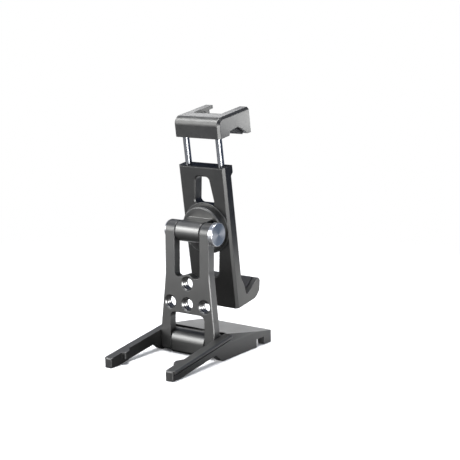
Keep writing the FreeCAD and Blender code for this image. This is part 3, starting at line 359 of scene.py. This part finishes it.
def turned_group(name):
    """Turning marks round an axis along X: Height of the rings, Tone of a painted highlight in two wedges
    across the face, and Face on flat ends.
    """
    group, given, made = new_group(
        name, [("Centre", "NodeSocketVector", (0, 0, 0)), ("Pitch", "NodeSocketFloat", 0.00016)],
        [("Height", "NodeSocketFloat"), ("Tone", "NodeSocketFloat"), ("Face", "NodeSocketFloat")])
    away = split(group, vector_maths(group, "SUBTRACT", here(group), given.outputs["Centre"]).outputs[0])
    across, up = away["Y"], away["Z"]
    radius = maths(group, "SQRT", maths(group, "ADD", maths(group, "MULTIPLY", across, across),
                                        maths(group, "MULTIPLY", up, up)))
    turns = maths(group, "DIVIDE", radius, given.outputs["Pitch"])
    rings = maths(group, "SINE", maths(group, "MULTIPLY", turns, math.tau))
    # Painted highlight: two bright wedges across the face, by the angle round the axis
    angle = maths(group, "SUBTRACT", maths(group, "ARCTAN2", up, across), HIGHLIGHT_TURN)
    highlight = maths(group, "POWER", maths(group, "ABSOLUTE", maths(group, "COSINE", angle)), HIGHLIGHT_POWER)
    facing = maths(group, "ABSOLUTE", split(group, here(group, "Normal"))["X"])
    group.links.new(rings, made.inputs["Height"])
    group.links.new(highlight, made.inputs["Tone"])
    group.links.new(maths(group, "GREATER_THAN", facing, FLAT_FACE), made.inputs["Face"])
    return group


MAKERS = {"Blasted grain": grain_group, "Soft edge": edge_group, "Turned face": turned_group}


def shared(tree, name, **inputs):
    """One use of a shared node group, which is built when it is first asked for."""
    made = node(tree, "ShaderNodeGroup")
    made.node_tree = bpy.data.node_groups.get(name) or MAKERS[name](name)
    for label, value in inputs.items():
        made.inputs[label].default_value = value
    return made


class Finish:
    """A material under construction: its node tree and its shader."""

    def __init__(self, name, **constants):
        self.material = bpy.data.materials.new(name)
        self.material.use_nodes = True
        self.tree = self.material.node_tree
        self.shader = self.tree.nodes["Principled BSDF"]
        for socket, value in constants.items():
            self.shader.inputs[socket.replace("_", " ")].default_value = value

    def feed(self, socket, value):
        """Link a value to a socket of the shader."""
        self.tree.links.new(value, self.shader.inputs[socket])

    def bump(self, height, depth, normal=None):
        """A bump of a real depth over a height, on a softened normal if there is one."""
        made = node(self.tree, "ShaderNodeBump", Strength=1.0, Distance=depth)
        self.tree.links.new(height, made.inputs["Height"])
        if normal is not None:
            self.tree.links.new(normal, made.inputs["Normal"])
        self.feed("Normal", made.outputs["Normal"])

    def grain(self, base, look, roughness, size=1, depth=1, mottle=0.1, haze=0.12, soft=True):
        """Feed the blasted grain to the shader. Hands back the toned colour and the mask of the edges."""
        grain = shared(self.tree, "Blasted grain", Size=look.grain_size * size, Mottle=mottle)
        edge = shared(self.tree, "Soft edge", Radius=look.edge_radius)
        haze = maths(self.tree, "MULTIPLY", grain.outputs["Gloss"], haze)
        face = toned(self.tree, base, grain.outputs["Tone"])
        self.feed("Base Color", face)
        self.feed("Roughness", maths(self.tree, "ADD", haze, roughness))
        self.bump(grain.outputs["Height"], look.grain_depth * depth, edge.outputs["Normal"] if soft else None)
        return face, edge.outputs["Edge"]


def anodised(name, base, look):
    """Blasted and anodised aluminium, with a painted highlight that makes its edges a little brighter."""
    made = Finish(name, Metallic=1.0)
    face, edge = made.grain(base, look, look.anodised_roughness)
    # Painted highlight: a brighter copy of the base colour is mixed in over the edges.
    highlighted = [min(1.0, part * look.edge_gain) for part in base]
    made.feed("Base Color", mixed(made.tree, maths(made.tree, "MULTIPLY", edge, look.edge_highlight_share), face, highlighted))
    return made.material


def steel(name, base, look, roughness, depth=0.25, soft=True):
    """Bare metal with fine marks, and soft edges unless it is a cut thread or a wire."""
    made = Finish(name, Metallic=1.0)
    made.grain(base, look, roughness, size=2, depth=depth, mottle=0.08, haze=0.1, soft=soft)
    return made.material


def rubber(name, base, look, roughness):
    """Matte rubber or sheet with a visible grain."""
    made = Finish(name, Specular_IOR_Level=0.35)
    made.grain(base, look, roughness, size=2, depth=4, mottle=0.12, haze=0.2)
    return made.material


def turned_steel(name, look, centre):
    """The cap nut's turned face with ring marks and a painted highlight on it and on its edges, and its
    polished side.
    """
    made = Finish(name)
    tree = made.tree
    turned = shared(tree, "Turned face", Centre=centre, Pitch=look.ring_pitch)
    edge = shared(tree, "Soft edge", Radius=look.edge_radius)
    bright = list(look.nut_highlight_colour)
    # Painted highlight on the turned face
    highlight = maths(tree, "MULTIPLY", turned.outputs["Tone"], look.highlight_strength)
    face_with_highlight = mixed(tree, highlight, look.nut_colour, bright)
    whole = mixed(tree, turned.outputs["Face"], look.nut_side_colour, face_with_highlight)
    # Painted highlight on the nut's edges: the edge mask mixes in the bright colour.
    made.feed("Base Color", mixed(tree, edge.outputs["Edge"], whole, bright))
    paint = maths(tree, "MULTIPLY", turned.outputs["Face"], look.face_paint)
    made.feed("Metallic", maths(tree, "SUBTRACT", 1.0, paint))
    rings = maths(tree, "MULTIPLY", turned.outputs["Height"], look.ring_haze)
    made.feed("Roughness", maths(tree, "ADD", rings, look.nut_roughness))
    made.bump(turned.outputs["Height"], look.ring_depth, edge.outputs["Normal"])
    return made.material


def node_middle(name):
    """The middle of a CAD node's box."""
    low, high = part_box(name)
    return (low + high) / 2


def dress_nodes(materials):
    """Give the CAD nodes of each named slot its material."""
    found = set()
    for part in frame["record"]["subparts"]:
        slot = part["material_slot"]
        if slot in materials:
            mesh = frame["nodes"][part["node"]].data
            mesh.materials.clear()
            mesh.materials.append(materials[slot])
            found.add(slot)
    missing = set(materials) - found
    if missing:
        raise RuntimeError("no node has slot %s" % sorted(missing))


def new_mesh(name, vertices, faces):
    """A mesh from its corners and faces."""
    mesh = bpy.data.meshes.new(name)
    mesh.from_pydata(vertices, [], faces)
    mesh.update()
    return mesh


def add_object(context, mesh, material):
    """A new object in the scene, named as its mesh."""
    mesh.materials.append(material)
    made = bpy.data.objects.new(mesh.name, mesh)
    context.scene.collection.objects.link(made)
    return made


class MOUNT_OT_anodised_parts(bpy.types.Operator):
    """Finish the base, arm, knuckle, clamp body and jaw"""

    bl_idname = "mount.anodised_parts"
    bl_label = "Finish anodised parts"

    def execute(self, context):
        look = context.scene.mount_finish
        dress_nodes({
            "anodised_base": anodised("anodised base", look.base_colour, look),
            "anodised_arm": anodised("anodised arm", look.arm_colour, look),
            "anodised_clamp": anodised("anodised clamp", look.clamp_colour, look),
            "anodised_jaw": anodised("anodised jaw", look.jaw_colour, look),
        })
        return {"FINISHED"}


class MOUNT_OT_hardware(bpy.types.Operator):
    """Finish the bolts, the cap nut, the rods, the stops and the washers"""

    bl_idname = "mount.hardware"
    bl_label = "Finish hardware"

    def execute(self, context):
        look = context.scene.mount_finish
        dress_nodes({
            "steel": steel("steel", look.steel_colour, look, look.steel_roughness),
            "blued_nut": turned_steel("turned nut", look, node_middle("upper_cap_nut")),
            "rod_chrome": steel("chrome rod", look.chrome_colour, look, look.rod_roughness, depth=0.05),
            "washer_plastic": rubber("washer", look.washer_colour, look, look.washer_roughness),
        })
        return {"FINISHED"}


class MOUNT_OT_rubber_parts(bpy.types.Operator):
    """Finish the grip pads and the feet"""

    bl_idname = "mount.rubber_parts"
    bl_label = "Finish pads and feet"

    def execute(self, context):
        look = context.scene.mount_finish
        dress_nodes({
            "grip_pad": rubber("grip pad", look.pad_colour, look, look.pad_roughness),
            "rubber": rubber("rubber foot", look.rubber_colour, look, look.foot_roughness),
        })
        return {"FINISHED"}


def thread_mesh(name, radius, length, settings):
    """A V-shaped ridge that winds along Y inside a hole."""
    turns = length / settings.pitch - settings.short
    last = int(turns * settings.steps)
    half = settings.pitch * settings.half_width
    root = radius + settings.overlap
    vertices = []
    faces = []
    for step in range(last + 1):
        angle = math.tau * step / settings.steps
        fade = min(1.0, step / settings.fade_steps, (last - step) / settings.fade_steps)
        middle = (step / settings.steps - turns / 2) * settings.pitch
        for along, reach in ((-half, root), (0, radius - settings.depth * fade), (half, root)):
            vertices.append((reach * math.cos(angle), middle + along, reach * math.sin(angle)))
        if step < last:
            first = step * 3
            faces += [(first, first + 3, first + 4, first + 1), (first + 1, first + 4, first + 5, first + 2),
                      (first + 2, first + 5, first + 3, first)]
    faces += [(0, 1, 2), (last * 3 + 2, last * 3 + 1, last * 3)]
    return new_mesh(name, vertices, faces)


def mouth_mesh(name, radius, start, settings):
    """A thin bright skin on the bevel at the hole's rear mouth."""
    inner = radius - settings.lift
    vertices = []
    faces = []
    for step in range(settings.steps):
        angle = math.tau * step / settings.steps
        for reach, along in ((inner + settings.mouth, start - settings.mouth), (inner, start)):
            vertices.append((reach * math.cos(angle), along, reach * math.sin(angle)))
        first = step * 2
        after = (first + 2) % (settings.steps * 2)
        faces.append((first, first + 1, after + 1, after))
    return new_mesh(name, vertices, faces)


class MOUNT_OT_threads(bpy.types.Operator):
    """Cut the look of a screw thread into the arm's four tapped holes"""

    bl_idname = "mount.threads"
    bl_label = "Add threads"

    def execute(self, context):
        settings = context.scene.mount_thread
        look = context.scene.mount_finish
        material = steel("cut thread", look.thread_colour, look, look.thread_roughness, soft=False)
        holes = [mount for mount in frame["record"]["mounts"] if mount["kind"] == "threaded_hole"]
        if not holes:
            raise RuntimeError("the record names no threaded hole")
        for hole in holes:
            radius, length = hole["dims"]["r_mm"] * MM, hole["dims"]["length_mm"] * MM
            ridge = thread_mesh(hole["name"].replace("_hole", "_thread"), radius, length, settings)
            mouth = mouth_mesh(hole["name"].replace("_hole", "_mouth"), radius, -length / 2, settings)
            for mesh in (ridge, mouth):
                piece = add_object(context, mesh, material)
                piece.location = hole["pos_m"]
                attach(piece, "arm")
        return {"FINISHED"}


def spring_mesh(name, foot, axis, length, settings):
    """A coil of round wire that stands on a point, with a closed turn at both ends."""
    half = settings.wire / 2
    rise = length - settings.wire
    closed = settings.wire * settings.closed_pitch
    open_turns = max(1, round((rise - 2 * closed) / settings.pitch))
    open_pitch = (rise - 2 * closed) / open_turns
    lean = Vector((0, 0, 1)).rotation_difference(axis)
    last = (open_turns + 2) * settings.steps
    vertices = []
    faces = []
    for step in range(last + 1):
        turn = step / settings.steps
        height = closed * min(turn, 1) + open_pitch * min(max(turn - 1, 0), open_turns)
        height += closed * max(turn - 1 - open_turns, 0)
        angle = math.tau * turn
        for side in range(settings.sides):
            around = math.tau * side / settings.sides
            reach = settings.coil + half * math.cos(around)
            corner = Vector((reach * math.cos(angle), reach * math.sin(angle),
                             half + height + half * math.sin(around)))
            vertices.append(foot + lean @ corner)
            if step < last:
                first, after = step * settings.sides, (step + 1) * settings.sides
                beside = (side + 1) % settings.sides
                faces.append((first + side, after + side, after + beside, first + beside))
    faces += [tuple(range(settings.sides)), tuple(reversed(range(last * settings.sides, len(vertices))))]
    return new_mesh(name, vertices, faces)


class MOUNT_OT_springs(bpy.types.Operator):
    """Wind the two return springs round the guide rods"""

    bl_idname = "mount.springs"
    bl_label = "Wind the return springs"

    def execute(self, context):
        settings = context.scene.mount_spring
        look = context.scene.mount_finish
        material = steel("round spring wire", look.steel_colour, look, look.wire_roughness, soft=False)
        slides = [joint for joint in frame["record"]["behaviour"]["joints"] if joint["name"] == "jaw_slide"]
        if not slides:
            raise RuntimeError("the record has no joint named jaw_slide")
        axis = Vector(slides[0]["axis"]).normalized()
        for side in ("left", "right"):
            spring = "return_spring_" + side
            middle = node_middle("guide_rod_" + side)
            reaches = [(corner.co - middle).dot(axis) for corner in frame["nodes"][spring].data.vertices]
            foot, head = middle + axis * min(reaches), middle + axis * max(reaches)
            mesh = spring_mesh("round_spring_" + side, foot, axis, (head - foot).length, settings)
            piece = add_object(context, mesh, material)
            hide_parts(spring)
            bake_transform(piece)
        return {"FINISHED"}


def add_lamp(context, name, spot, aim, size, power, receivers):
    """A soft rectangular light that faces a point, and lights only the receivers if it has any."""
    light = bpy.data.lights.new(name, "AREA")
    light.shape = "RECTANGLE"
    light.size, light.size_y = size
    light.energy = power
    lamp = bpy.data.objects.new(name, light)
    lamp.location = spot
    lamp.rotation_euler = (Vector(aim) - Vector(spot)).to_track_quat("-Z", "Y").to_euler()
    lamp.visible_camera = False
    context.scene.collection.objects.link(lamp)
    if receivers:
        lit = bpy.data.collections.new(name + " light")
        for receiver in receivers:
            lit.objects.link(frame["nodes"][receiver])
        lamp.light_linking.receiver_collection = lit


def add_card(context, name, low, high, base, glow):
    """An upright card along X that only reflections show."""
    made = Finish(name, Base_Color=(*base, 1.0), Roughness=1.0, Emission_Strength=glow,
                  Emission_Color=(*WHITE, 1.0))
    corners = [(low[0], low[1], low[2]), (high[0], low[1], low[2]), (high[0], low[1], high[2]),
               (low[0], low[1], high[2])]
    card = add_object(context, new_mesh(name, corners, [(0, 1, 2, 3)]), made.material)
    card.visible_camera = card.visible_diffuse = card.visible_shadow = False


def add_room(context, settings):
    """A dim room for reflections, with a pale wall and a bright backdrop. The camera sees it white."""
    world = bpy.data.worlds.new("Room")
    world.use_nodes = True
    tree = world.node_tree
    way = split(tree, here(tree, "Generated"))
    level = ramp(tree, maths(tree, "ABSOLUTE", way["Z"]), *WALL_HEIGHT)
    wall = maths(tree, "MULTIPLY", ramp(tree, way["X"], *WALL_ACROSS), level)
    air = mixed(tree, wall, [settings.air_tone * part for part in AIR_TINT], grey(settings.wall_tone))
    behind = ramp(tree, maths(tree, "SUBTRACT", way["Y"], way["X"]), *BACKDROP_TURN)
    band = maths(tree, "MULTIPLY", ramp(tree, way["Z"], *BACKDROP_FOOT), ramp(tree, way["Z"], *BACKDROP_TOP))
    air = mixed(tree, maths(tree, "MULTIPLY", behind, band), air, grey(settings.backdrop_tone))
    seen = node(tree, "ShaderNodeLightPath").outputs["Is Camera Ray"]
    tree.links.new(mixed(tree, seen, air, WHITE), tree.nodes["Background"].inputs["Color"])
    context.scene.world = world


def floor_finish(settings):
    """A pale floor that fades into the backdrop. Reflections see it with painted shade that makes it darker
    near the part, except behind it and at one lit spot.
    """
    made = Finish("floor", Roughness=0.9, Specular_IOR_Level=0.1)
    tree = made.tree
    tone = settings.floor_tone
    grain = shared(tree, "Blasted grain", Size=settings.floor_grain, Mottle=0.01)
    spot = here(tree)
    apart = vector_maths(tree, "LENGTH", spot).outputs["Value"]
    beside = vector_maths(tree, "DISTANCE", spot, LIT_SPOT).outputs["Value"]
    axes = split(tree, spot)
    back = ramp(tree, maths(tree, "SUBTRACT", axes["Y"], axes["X"]), *BACK_FLOOR)
    # Painted shade: reflections see the floor darker near the part, and at full tone behind it and at the lit
    # spot.
    mirrored = mixed(tree, ramp(tree, apart, *OPEN_FLOOR), grey(tone * DARK_SHARE), grey(tone * OPEN_SHARE))
    for share in (back, ramp(tree, beside, *LIT_REACH)):
        mirrored = mixed(tree, share, mirrored, grey(tone))
    glossy = node(tree, "ShaderNodeLightPath").outputs["Is Glossy Ray"]
    made.feed("Base Color", mixed(tree, glossy, toned(tree, grey(tone), grain.outputs["Tone"]), mirrored))
    fade = node(tree, "ShaderNodeMapRange", interpolation_type="SMOOTHSTEP", From_Max=settings.floor_reach,
                From_Min=settings.floor_reach * FADE_START, To_Min=1.0, To_Max=0.0)
    tree.links.new(apart, fade.inputs["Value"])
    made.feed("Alpha", fade.outputs["Result"])
    return made.material


def add_camera(context, settings):
    """The camera that shows the part as the finished picture does."""
    camera = bpy.data.objects.new("camera", bpy.data.cameras.new("camera"))
    camera.data.lens = settings.lens
    camera.data.sensor_width = settings.sensor
    camera.data.clip_start = settings.near_clip
    camera.location = settings.camera_place
    camera.rotation_euler = (math.pi / 2 - settings.camera_pitch, 0, settings.camera_turn)
    context.scene.collection.objects.link(camera)
    context.scene.camera = camera


class MOUNT_OT_studio(bpy.types.Operator):
    """Add the floor, the room, the lights, the cards and the camera"""

    bl_idname = "mount.studio"
    bl_label = "Set up the studio"

    def execute(self, context):
        settings = context.scene.mount_studio
        reach = settings.floor_reach
        corners = [(-reach, -reach, 0), (reach, -reach, 0), (reach, reach, 0), (-reach, reach, 0)]
        add_object(context, new_mesh("floor", corners, [(0, 1, 2, 3)]), floor_finish(settings))
        add_room(context, settings)
        for lamp in LAMPS:
            add_lamp(context, *lamp)
        for card in CARDS:
            add_card(context, *card)
        add_camera(context, settings)
        context.scene.view_settings.view_transform = "Standard"
        return {"FINISHED"}


class MOUNT_PT_panel(bpy.types.Panel):
    """Buttons for each step"""

    bl_idname = "MOUNT_PT_panel"
    bl_label = "Phone mount"
    bl_space_type = "VIEW_3D"
    bl_region_type = "UI"
    bl_category = "Mount"

    def draw(self, context):
        for step in STEPS:
            self.layout.operator(step.bl_idname)


SETTINGS = {
    "mount_finish": FinishSettings,
    "mount_thread": ThreadSettings,
    "mount_spring": SpringSettings,
    "mount_studio": StudioSettings,
}
STEPS = (
    MOUNT_OT_anodised_parts,
    MOUNT_OT_hardware,
    MOUNT_OT_rubber_parts,
    MOUNT_OT_threads,
    MOUNT_OT_springs,
    MOUNT_OT_studio,
)


def register():
    """Add the classes and the scene's settings."""
    for kind in (*SETTINGS.values(), *STEPS, MOUNT_PT_panel):
        bpy.utils.register_class(kind)
    for name, kind in SETTINGS.items():
        setattr(bpy.types.Scene, name, PointerProperty(type=kind))


def unregister():
    """Take them away again."""
    for name in SETTINGS:
        delattr(bpy.types.Scene, name)
    for kind in (MOUNT_PT_panel, *reversed(STEPS), *SETTINGS.values()):
        bpy.utils.unregister_class(kind)


def main():
    """Run every step in order."""
    register()
    bpy.ops.mount.anodised_parts()
    bpy.ops.mount.hardware()
    bpy.ops.mount.rubber_parts()
    bpy.ops.mount.threads()
    bpy.ops.mount.springs()
    bpy.ops.mount.studio()


if __name__ == "__main__":
    main()
